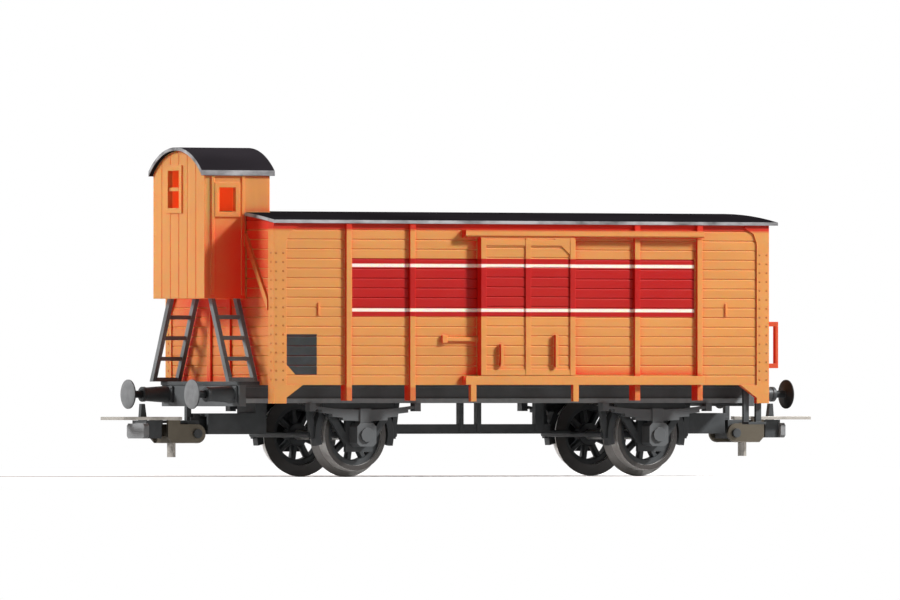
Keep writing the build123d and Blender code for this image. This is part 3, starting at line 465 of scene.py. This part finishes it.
def frame_plastic(name, base=FRAME_DARK, scuff_and_highlight=FRAME_SCUFF_AND_HIGHLIGHT, edge_share=0.55, faces=None, flange=None, gloss=0.3):
    """Dark satin plastic with pale edges, partly wear and partly a painted highlight.

    faces gives a colour to what lies past a distance along X and below a height, flange to what lies
    past a distance along Y and below a height, all in mm.
    """
    n = Nodes(name)
    grain = n.noise(2200, 4)
    cloud = n.noise(160, 3)
    colour = n.mix(n.ramp(cloud, 0.3, 0.75, 0, 0.3), base, scuff_and_highlight)
    # Pale edges: partly wear, partly a painted highlight
    edge_scuff_and_highlight = n.times(n.edges(0.12), n.ramp(n.noise(700, 3), 0.3, 0.65, 0.25, 1.0))
    colour = n.mix(n.times(edge_scuff_and_highlight, edge_share), colour, scuff_and_highlight)
    x, y, z = n.place()
    for part, along in ((faces, x), (flange, y)):
        if part:
            limit, height, pale = part
            past = n.ramp(n.math("ABSOLUTE", along), limit - PALE_FRONT_SOFT, limit + PALE_FRONT_SOFT)
            below = n.ramp(z, height - PALE_FRONT_SOFT, height + PALE_FRONT_SOFT, 1.0, 0.0)
            smudge = n.ramp(n.noise(900, 4), *CLOUD, 0.75, 1.0)
            colour = n.mix(n.times(n.times(past, below), smudge), colour, pale)
    n.set("Specular IOR Level", gloss)
    return n.finish(colour, n.ramp(grain, *GRAIN, 0.4, 0.56), grain, 0.15)


def metal(name, colour, rough, cheeks=None):
    """Bare metal with a little tarnish; the loops have brown cheeks and streaks."""
    n = Nodes(name)
    marks = n.noise(3500, 3, (1, 0.05, 1) if cheeks else (1, 1, 1))
    tarnish = n.noise(350, 4)
    shade = n.mix(n.ramp(tarnish, *TARNISH, 0, 0.75), colour, scaled(colour, 0.45))
    if cheeks:
        _, _, z = n.place()
        shade = n.mix(n.between(z, *CHEEK_HEIGHTS), shade, cheeks)
    n.set("Metallic", 0.9)
    return n.finish(shade, n.ramp(tarnish, *DULLED, rough, rough + 0.22), marks, 0.1)


def tyre_metal(name):
    """Turned tyre: bright tread and flange, side faces darkened."""
    n = Nodes(name)
    marks = n.noise(3500, 3)
    tarnish = n.noise(350, 4)
    face = n.ramp(n.math("ABSOLUTE", n.facing(1)), 0.55, 0.85)
    bright = n.mix(n.ramp(tarnish, *TARNISH, 0, 0.6), TYRE_STEEL, scaled(TYRE_STEEL, 0.5))
    n.set("Metallic", n.ramp(face, 0, 1, 0.35, 0.1))
    return n.finish(n.mix(face, bright, TYRE_DARK), n.ramp(tarnish, *DULLED, 0.32, 0.5), marks, 0.1)


def dress(material, *names):
    """Gives CAD nodes a material in place of their own."""
    for name in names:
        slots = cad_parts[name].data.materials
        slots.clear()
        slots.append(material)


def piece(name, shape, material, slot, body, *replaced):
    """Turns a finished bmesh, drawn in mm above the rail, into an object that rides a body."""
    to_metres = Matrix.Scale(MM, 4) @ Matrix.Translation((0, 0, RAIL))
    bmesh.ops.recalc_face_normals(shape, faces=shape.faces)
    bmesh.ops.transform(shape, matrix=to_metres, verts=shape.verts)
    mesh = bpy.data.meshes.new(name)
    shape.to_mesh(mesh)
    shape.free()
    mesh.polygons.foreach_set("use_smooth", [True] * len(mesh.polygons))
    mesh.set_sharp_from_angle(angle=SHARP_ANGLE)
    mesh.materials.append(material)
    made = bpy.data.objects.new(name, mesh)
    bpy.context.collection.objects.link(made)
    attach(made, body)
    if replaced:
        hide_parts(*replaced)


def loft(shape, rings, closed=False):
    """Skins a row of rings; closed joins the last to the first, and else both ends get a face."""
    for one, two in zip(rings, rings[1:] + (rings[:1] if closed else [])):
        for k in range(len(one)):
            after = (k + 1) % len(one)
            shape.faces.new((one[k], one[after], two[after], two[k]))
    if not closed:
        shape.faces.new(rings[0])
        shape.faces.new(rings[-1])


def lathe(shape, profile, place, axis, steps, closed=False):
    """Adds a turned form: profile of (distance along the axis, radius), about a place, along X or Y."""
    rings = []
    for along, radius in profile:
        ring = []
        for step in range(steps):
            turn = 2 * math.pi * step / steps
            a, b = radius * math.cos(turn), radius * math.sin(turn)
            spot = (along, a, b) if axis == "x" else (a, along, b)
            ring.append(shape.verts.new([p + q for p, q in zip(place, spot)]))
        rings.append(ring)
    loft(shape, rings, closed)


def bar(shape, low, high, bevel):
    """Adds a box between two corners with its edges taken off."""
    centre = Matrix.Translation([(a + b) / 2 for a, b in zip(low, high)])
    sizes = Matrix.Diagonal((*(abs(b - a) for a, b in zip(low, high)), 1))
    made = bmesh.ops.create_cube(shape, size=1.0, matrix=centre @ sizes)
    edges = list({edge for vert in made["verts"] for edge in vert.link_edges})
    bmesh.ops.bevel(shape, geom=edges, offset=bevel, segments=2, affect="EDGES", profile=0.6)


def dome(shape, place, normal, radius, height, steps=8):
    """Adds a rivet or bolt head: a low dome on a face that looks along normal."""
    place, normal = Vector(place), Vector(normal)
    side = normal.orthogonal().normalized()
    up = normal.cross(side)
    rings = []
    for share, lift in ((1.0, -0.02), (0.8, 0.6 * height)):
        ring = []
        for step in range(steps):
            turn = 2 * math.pi * step / steps
            out = math.cos(turn) * side + math.sin(turn) * up
            ring.append(shape.verts.new(place + normal * lift + radius * share * out))
        rings.append(ring)
    foot, shoulder = rings
    top = shape.verts.new(place + normal * height)
    for k in range(steps):
        after = (k + 1) % steps
        shape.faces.new((foot[k], foot[after], shoulder[after], shoulder[k]))
        shape.faces.new((shoulder[k], shoulder[after], top))
    shape.faces.new(foot)


def buffers(sleeve_material):
    """Turned buffer heads with a shallow dome, and sleeves with a bolted base plate."""
    face, nose, plate = BUFFER_FACE, SLEEVE_NOSE, BEAM_FACE + BASE_THICK
    head = [(BEAM_FACE + 1.2, SHANK_R), (face - 0.62, SHANK_R), (face - 0.48, 0.95),
            (face - 0.40, HEAD_R - 0.15), (face - 0.34, HEAD_R), (face - 0.16, HEAD_R),
            (face - 0.09, HEAD_R - 0.12), (face - 0.02, 0.62 * HEAD_R), (face, 0.22 * HEAD_R)]
    sleeve = [(BEAM_FACE, SLEEVE_ROOT_R), (BEAM_FACE + 0.7, SLEEVE_ROOT_R - 0.02), (nose - 0.62, 1.08),
              (nose - 0.6, SLEEVE_NOSE_R), (nose - 0.08, SLEEVE_NOSE_R), (nose, SLEEVE_NOSE_R - 0.07),
              (nose, SLEEVE_BORE_R), (nose - 0.5, SLEEVE_BORE_R - 0.04)]
    half_width, half_height = BASE_HALF
    bolt_y, bolt_z = BOLT_AT
    heads = bmesh.new()
    sleeves = bmesh.new()
    for end in (-1, 1):
        for y in (-BUFFER_Y, BUFFER_Y):
            place = (0, y, BUFFER_Z)
            lathe(heads, [(end * along, radius) for along, radius in head], place, "x", 48)
            lathe(sleeves, [(end * along, radius) for along, radius in sleeve], place, "x", 32)
            bar(sleeves, (end * BEAM_FACE, y - half_width, BUFFER_Z - half_height),
                (end * plate, y + half_width, BUFFER_Z + half_height), BASE_BEVEL)
            for dy in (-bolt_y, bolt_y):
                for dz in (-bolt_z, bolt_z):
                    dome(sleeves, (end * plate, y + dy, BUFFER_Z + dz), (end, 0, 0), *BOLT)
    front = (*HEAD_FRONT, BUFFER_GREY)
    head_material = frame_plastic("buffer_plastic", HEAD_DARK, faces=front, gloss=0.08)
    piece("buffer_heads_turned", heads, head_material, "buffer_grey", "wagon", "buffer_heads")
    piece("buffer_sleeves_turned", sleeves, sleeve_material, "frame_dark", "wagon", "buffer_sleeves")


def spoke(shape, place, turn, inner, outer):
    """Adds one spoke from hub to rim, with its edges taken off."""
    along = Vector((math.cos(turn), 0, math.sin(turn)))
    across = Vector((-math.sin(turn), 0, math.cos(turn)))
    rings = []
    for reach, half in SPOKE_TAPER:
        edge = 0.6 * half
        section = [(-half, 0.30), (-half, 0.70), (-edge, 0.86), (edge, 0.86),
                   (half, 0.70), (half, 0.30), (edge, 0.14), (-edge, 0.14)]
        ring = []
        for width, depth in section:
            level = Vector((0, inner + (outer - inner) * depth, 0))
            ring.append(shape.verts.new(place + along * reach + across * width + level))
        rings.append(ring)
    loft(shape, rings)


def wheel_centres(material):
    """Spoked wheel centres: turned rim and hub with tapered spokes."""
    for end in ("cab_end", "plain_end"):
        place = middle("axle_" + end)
        shape = bmesh.new()
        for side in (-1, 1):
            inner, outer, chamfer = side * RIM_INNER, side * RIM_OUTER, side * CHAMFER
            nose = outer + side * HUB_NOSE
            rim = [(inner, RIM_BORE_R + CHAMFER), (inner + chamfer, RIM_BORE_R),
                   (outer - chamfer, RIM_BORE_R), (outer, RIM_BORE_R + CHAMFER),
                   (outer, RIM_R), (inner, RIM_R)]
            lathe(shape, rim, place, "y", 54, True)
            hub = [(inner, HUB_BORE_R), (inner, HUB_R - CHAMFER), (inner + chamfer, HUB_R),
                   (outer, HUB_R - 0.05), (outer + chamfer, 1.55), (nose - chamfer, 1.45),
                   (nose, 1.32), (nose, HUB_BORE_R)]
            lathe(shape, hub, place, "y", 36, True)
            for number in range(SPOKES):
                spoke(shape, place, 2 * math.pi * (number + 0.5) / SPOKES, inner, outer)
        piece("spoked_centres_" + end, shape, material, "frame_dark", "wheelset_" + end,
              "wheel_centres_" + end)


def rivets():
    """Rivet heads in two columns on each corner plate, and one column on its return."""
    shape = bmesh.new()
    for out, inward in ((PLATES_LOW.x, 1), (PLATES_HIGH.x, -1)):
        for row in range(RIVET_ROWS):
            z = RIVET_LOW + row * RIVET_PITCH
            for side in (-1, 1):
                for reach in RIVET_COLUMNS:
                    dome(shape, (out + inward * reach, side * PLATES_HIGH.y, z), (0, side, 0), *RIVET)
                dome(shape, (out, side * RIVET_RETURN_Y, z), (-inward, 0, 0), *RIVET)
    piece("corner_rivets", shape, body_plastic("rivet_plastic", tone=0.72), "body_orange", "wagon")


def dress_body():
    """Walls, doors, ends, cab and roofs; grooves get painted light on walls, doors and cab, and painted
    shade elsewhere.
    """
    pale = (PAINTED_GROOVE_LIGHT, 0.7)
    walls = body_plastic("wall_plastic", painted=True, boards="z", glow=1.2, fill=pale)
    doors = body_plastic("door_plastic", painted=True, boards="z", fill=pale)
    # Stanchion feet below the walls get painted red shade
    stanchions = body_plastic("stanchion_plastic", painted=True, feet_shade=0.45)
    # The ends get painted red shade sooner, the end beside the cab sooner still
    open_end = body_plastic("end_plastic", boards="z", glow=1.2, deep_range=(0.07, 0.27), low_shade=0.2)
    shaded_end = body_plastic("shaded_end_plastic", boards="z", glow=1.2, deep_range=(0.03, 0.17),
                              low_shade=0.3)
    plain = body_plastic("body_plastic")
    # Handrails are painted red shade all over, open faces too, in a darker tone
    handrails = body_plastic("shaded_handrail_plastic", tone=0.7, deep_range=(-0.7, 0.3))
    cab = body_plastic("cab_plastic", boards="y", pitch=CAB_PITCH, glow=2.5, cab=True,
                       deep_range=(0.09, 0.27), fill=pale)
    dress(walls, "side_wall_near", "side_wall_far")
    dress(doors, "door_near", "door_far")
    dress(stanchions, "stanchions")
    dress(open_end, "end_wall_plain")
    dress(shaded_end, "end_wall_cab")
    dress(plain, "end_posts", "corner_plates", "door_rails_near", "door_rails_far")
    dress(handrails, "end_handrails")
    dress(cab, "cab_end_wall", "cab_side_near", "cab_side_far", "cab_rear_wall", "cab_floor")
    dress(roof_plastic("wagon_roof", 2.1), "wagon_roof")
    dress(roof_plastic("cab_roof", 4.0), "cab_roof")


def dress_frame(dark):
    """Underframe and ladders in dark plastic."""
    soles = frame_plastic("sole_plastic", SOLE_GREY, flange=(*SOLE_FLANGE, FLANGE_GREY))
    beams = frame_plastic("beam_plastic", BEAM_GREY)
    ladders = frame_plastic("ladder_plastic", LADDER_GREY, LADDER_SCUFF_AND_HIGHLIGHT, 0.7)
    dress(dark, "floor_plate", "platform_deck", "axle_guards", "brake_shoes", "brake_pull_bar",
          "coupler_pockets", "corner_steps")
    dress(soles, "sole_bars")
    dress(beams, "buffer_beams", "axle_boxes", "leaf_springs")
    dress(ladders, "ladder_near", "ladder_far")


def dress_running_gear():
    """Couplers, axles and tyres."""
    couplers = frame_plastic("coupler_plastic", faces=(*COUPLER_FRONT, PLATE_GREY))
    loops = metal("loop_nickel", LOOP_NICKEL, 0.4, CHEEK_BROWN)
    dress(couplers, "coupler_head_cab_end", "coupler_head_plain_end")
    dress(loops, "coupler_loop_cab_end", "coupler_loop_plain_end")
    dress(metal("axle_steel", TYRE_STEEL, 0.3), "axle_cab_end", "axle_plain_end")
    dress(tyre_metal("tyre_steel"), "tyres_cab_end", "tyres_plain_end")


def aim_at(made, target):
    """Turns a camera or lamp towards a place and puts it in the scene."""
    made.rotation_euler = (target - made.location).to_track_quat("-Z", "Y").to_euler()
    bpy.context.collection.objects.link(made)


def camera():
    """Camera as the photograph has it: low, from the cab end's near corner, with a long lens."""
    data = bpy.data.cameras.new("photo_camera")
    data.sensor_width = 36.0
    data.lens = LENS
    data.clip_end = 50
    made = bpy.data.objects.new("photo_camera", data)
    rail = Vector((0, 0, RAIL))
    made.location = (Vector(CAMERA_PLACE) + rail) * MM
    aim_at(made, (Vector(CAMERA_AIM) + rail) * MM)
    bpy.context.scene.camera = made


def lights():
    """Key light from the right front, a second from behind the cab and a weak wide one from above."""
    for name, (offset, side, power) in LAMPS.items():
        data = bpy.data.lights.new(name, "AREA")
        data.shape = "SQUARE"
        data.size = side
        data.energy = power
        made = bpy.data.objects.new(name, data)
        made.location = WAGON_MIDDLE + Vector(offset)
        aim_at(made, WAGON_MIDDLE)


def seen_rays(tree):
    """1 for rays from the camera, from a reflection or through glass, 0 for diffuse light."""
    path = tree.nodes.new("ShaderNodeLightPath")
    shown = path.outputs["Is Camera Ray"]
    for rays in ("Is Glossy Ray", "Is Transmission Ray"):
        either = tree.nodes.new("ShaderNodeMath")
        either.operation = "MAXIMUM"
        tree.links.new(shown, either.inputs[0])
        tree.links.new(path.outputs[rays], either.inputs[1])
        shown = either.outputs[0]
    return shown


def surround():
    """White surround that gives the object only a soft ambient light."""
    scene = bpy.context.scene
    scene.view_settings.view_transform = "Standard"
    world = bpy.data.worlds.new("surround")
    scene.world = world
    world.use_nodes = True
    tree = world.node_tree
    tint = tree.nodes.new("ShaderNodeMix")
    tint.data_type = "RGBA"
    tint.inputs["A"].default_value = AMBIENT
    tint.inputs["B"].default_value = WHITE
    tree.links.new(seen_rays(tree), tint.inputs["Factor"])
    tree.links.new(tint.outputs["Result"], tree.nodes["Background"].inputs["Color"])


def floor():
    """Pale floor that keeps the object's shadow and turns white further out."""
    mesh = bpy.data.meshes.new("floor")
    corners = [(x * FLOOR_HALF, y * FLOOR_HALF, 0) for x, y in ((-1, -1), (1, -1), (1, 1), (-1, 1))]
    mesh.from_pydata(corners, [], [(0, 1, 2, 3)])
    made = bpy.data.objects.new("floor", mesh)
    bpy.context.collection.objects.link(made)
    n = Nodes("floor_pale")
    shown = seen_rays(n.tree)
    n.set("Base Color", n.mix(shown, FLOOR_LIT, FLOOR_SHOWN))
    n.set("Roughness", n.ramp(n.noise(60, 2), *CLOUD, 0.8, 0.9))
    coords = n.add("ShaderNodeTexCoord")
    length = n.add("ShaderNodeVectorMath", operation="LENGTH")
    n.join(coords.outputs["Object"], length.inputs[0])
    blend = n.add("ShaderNodeMixShader")
    n.join(n.times(n.ramp(length.outputs["Value"], *FLOOR_CLEARS), shown), blend.inputs[0])
    n.join(n.shader.outputs[0], blend.inputs[1])
    n.join(n.add("ShaderNodeEmission").outputs[0], blend.inputs[2])
    n.join(blend.outputs[0], n.tree.nodes["Material Output"].inputs["Surface"])
    mesh.materials.append(n.material)


frame_dark = frame_plastic("frame_plastic")
dress_body()
dress_frame(frame_dark)
dress_running_gear()
buffers(frame_dark)
wheel_centres(frame_dark)
rivets()
camera()
lights()
surround()
floor()
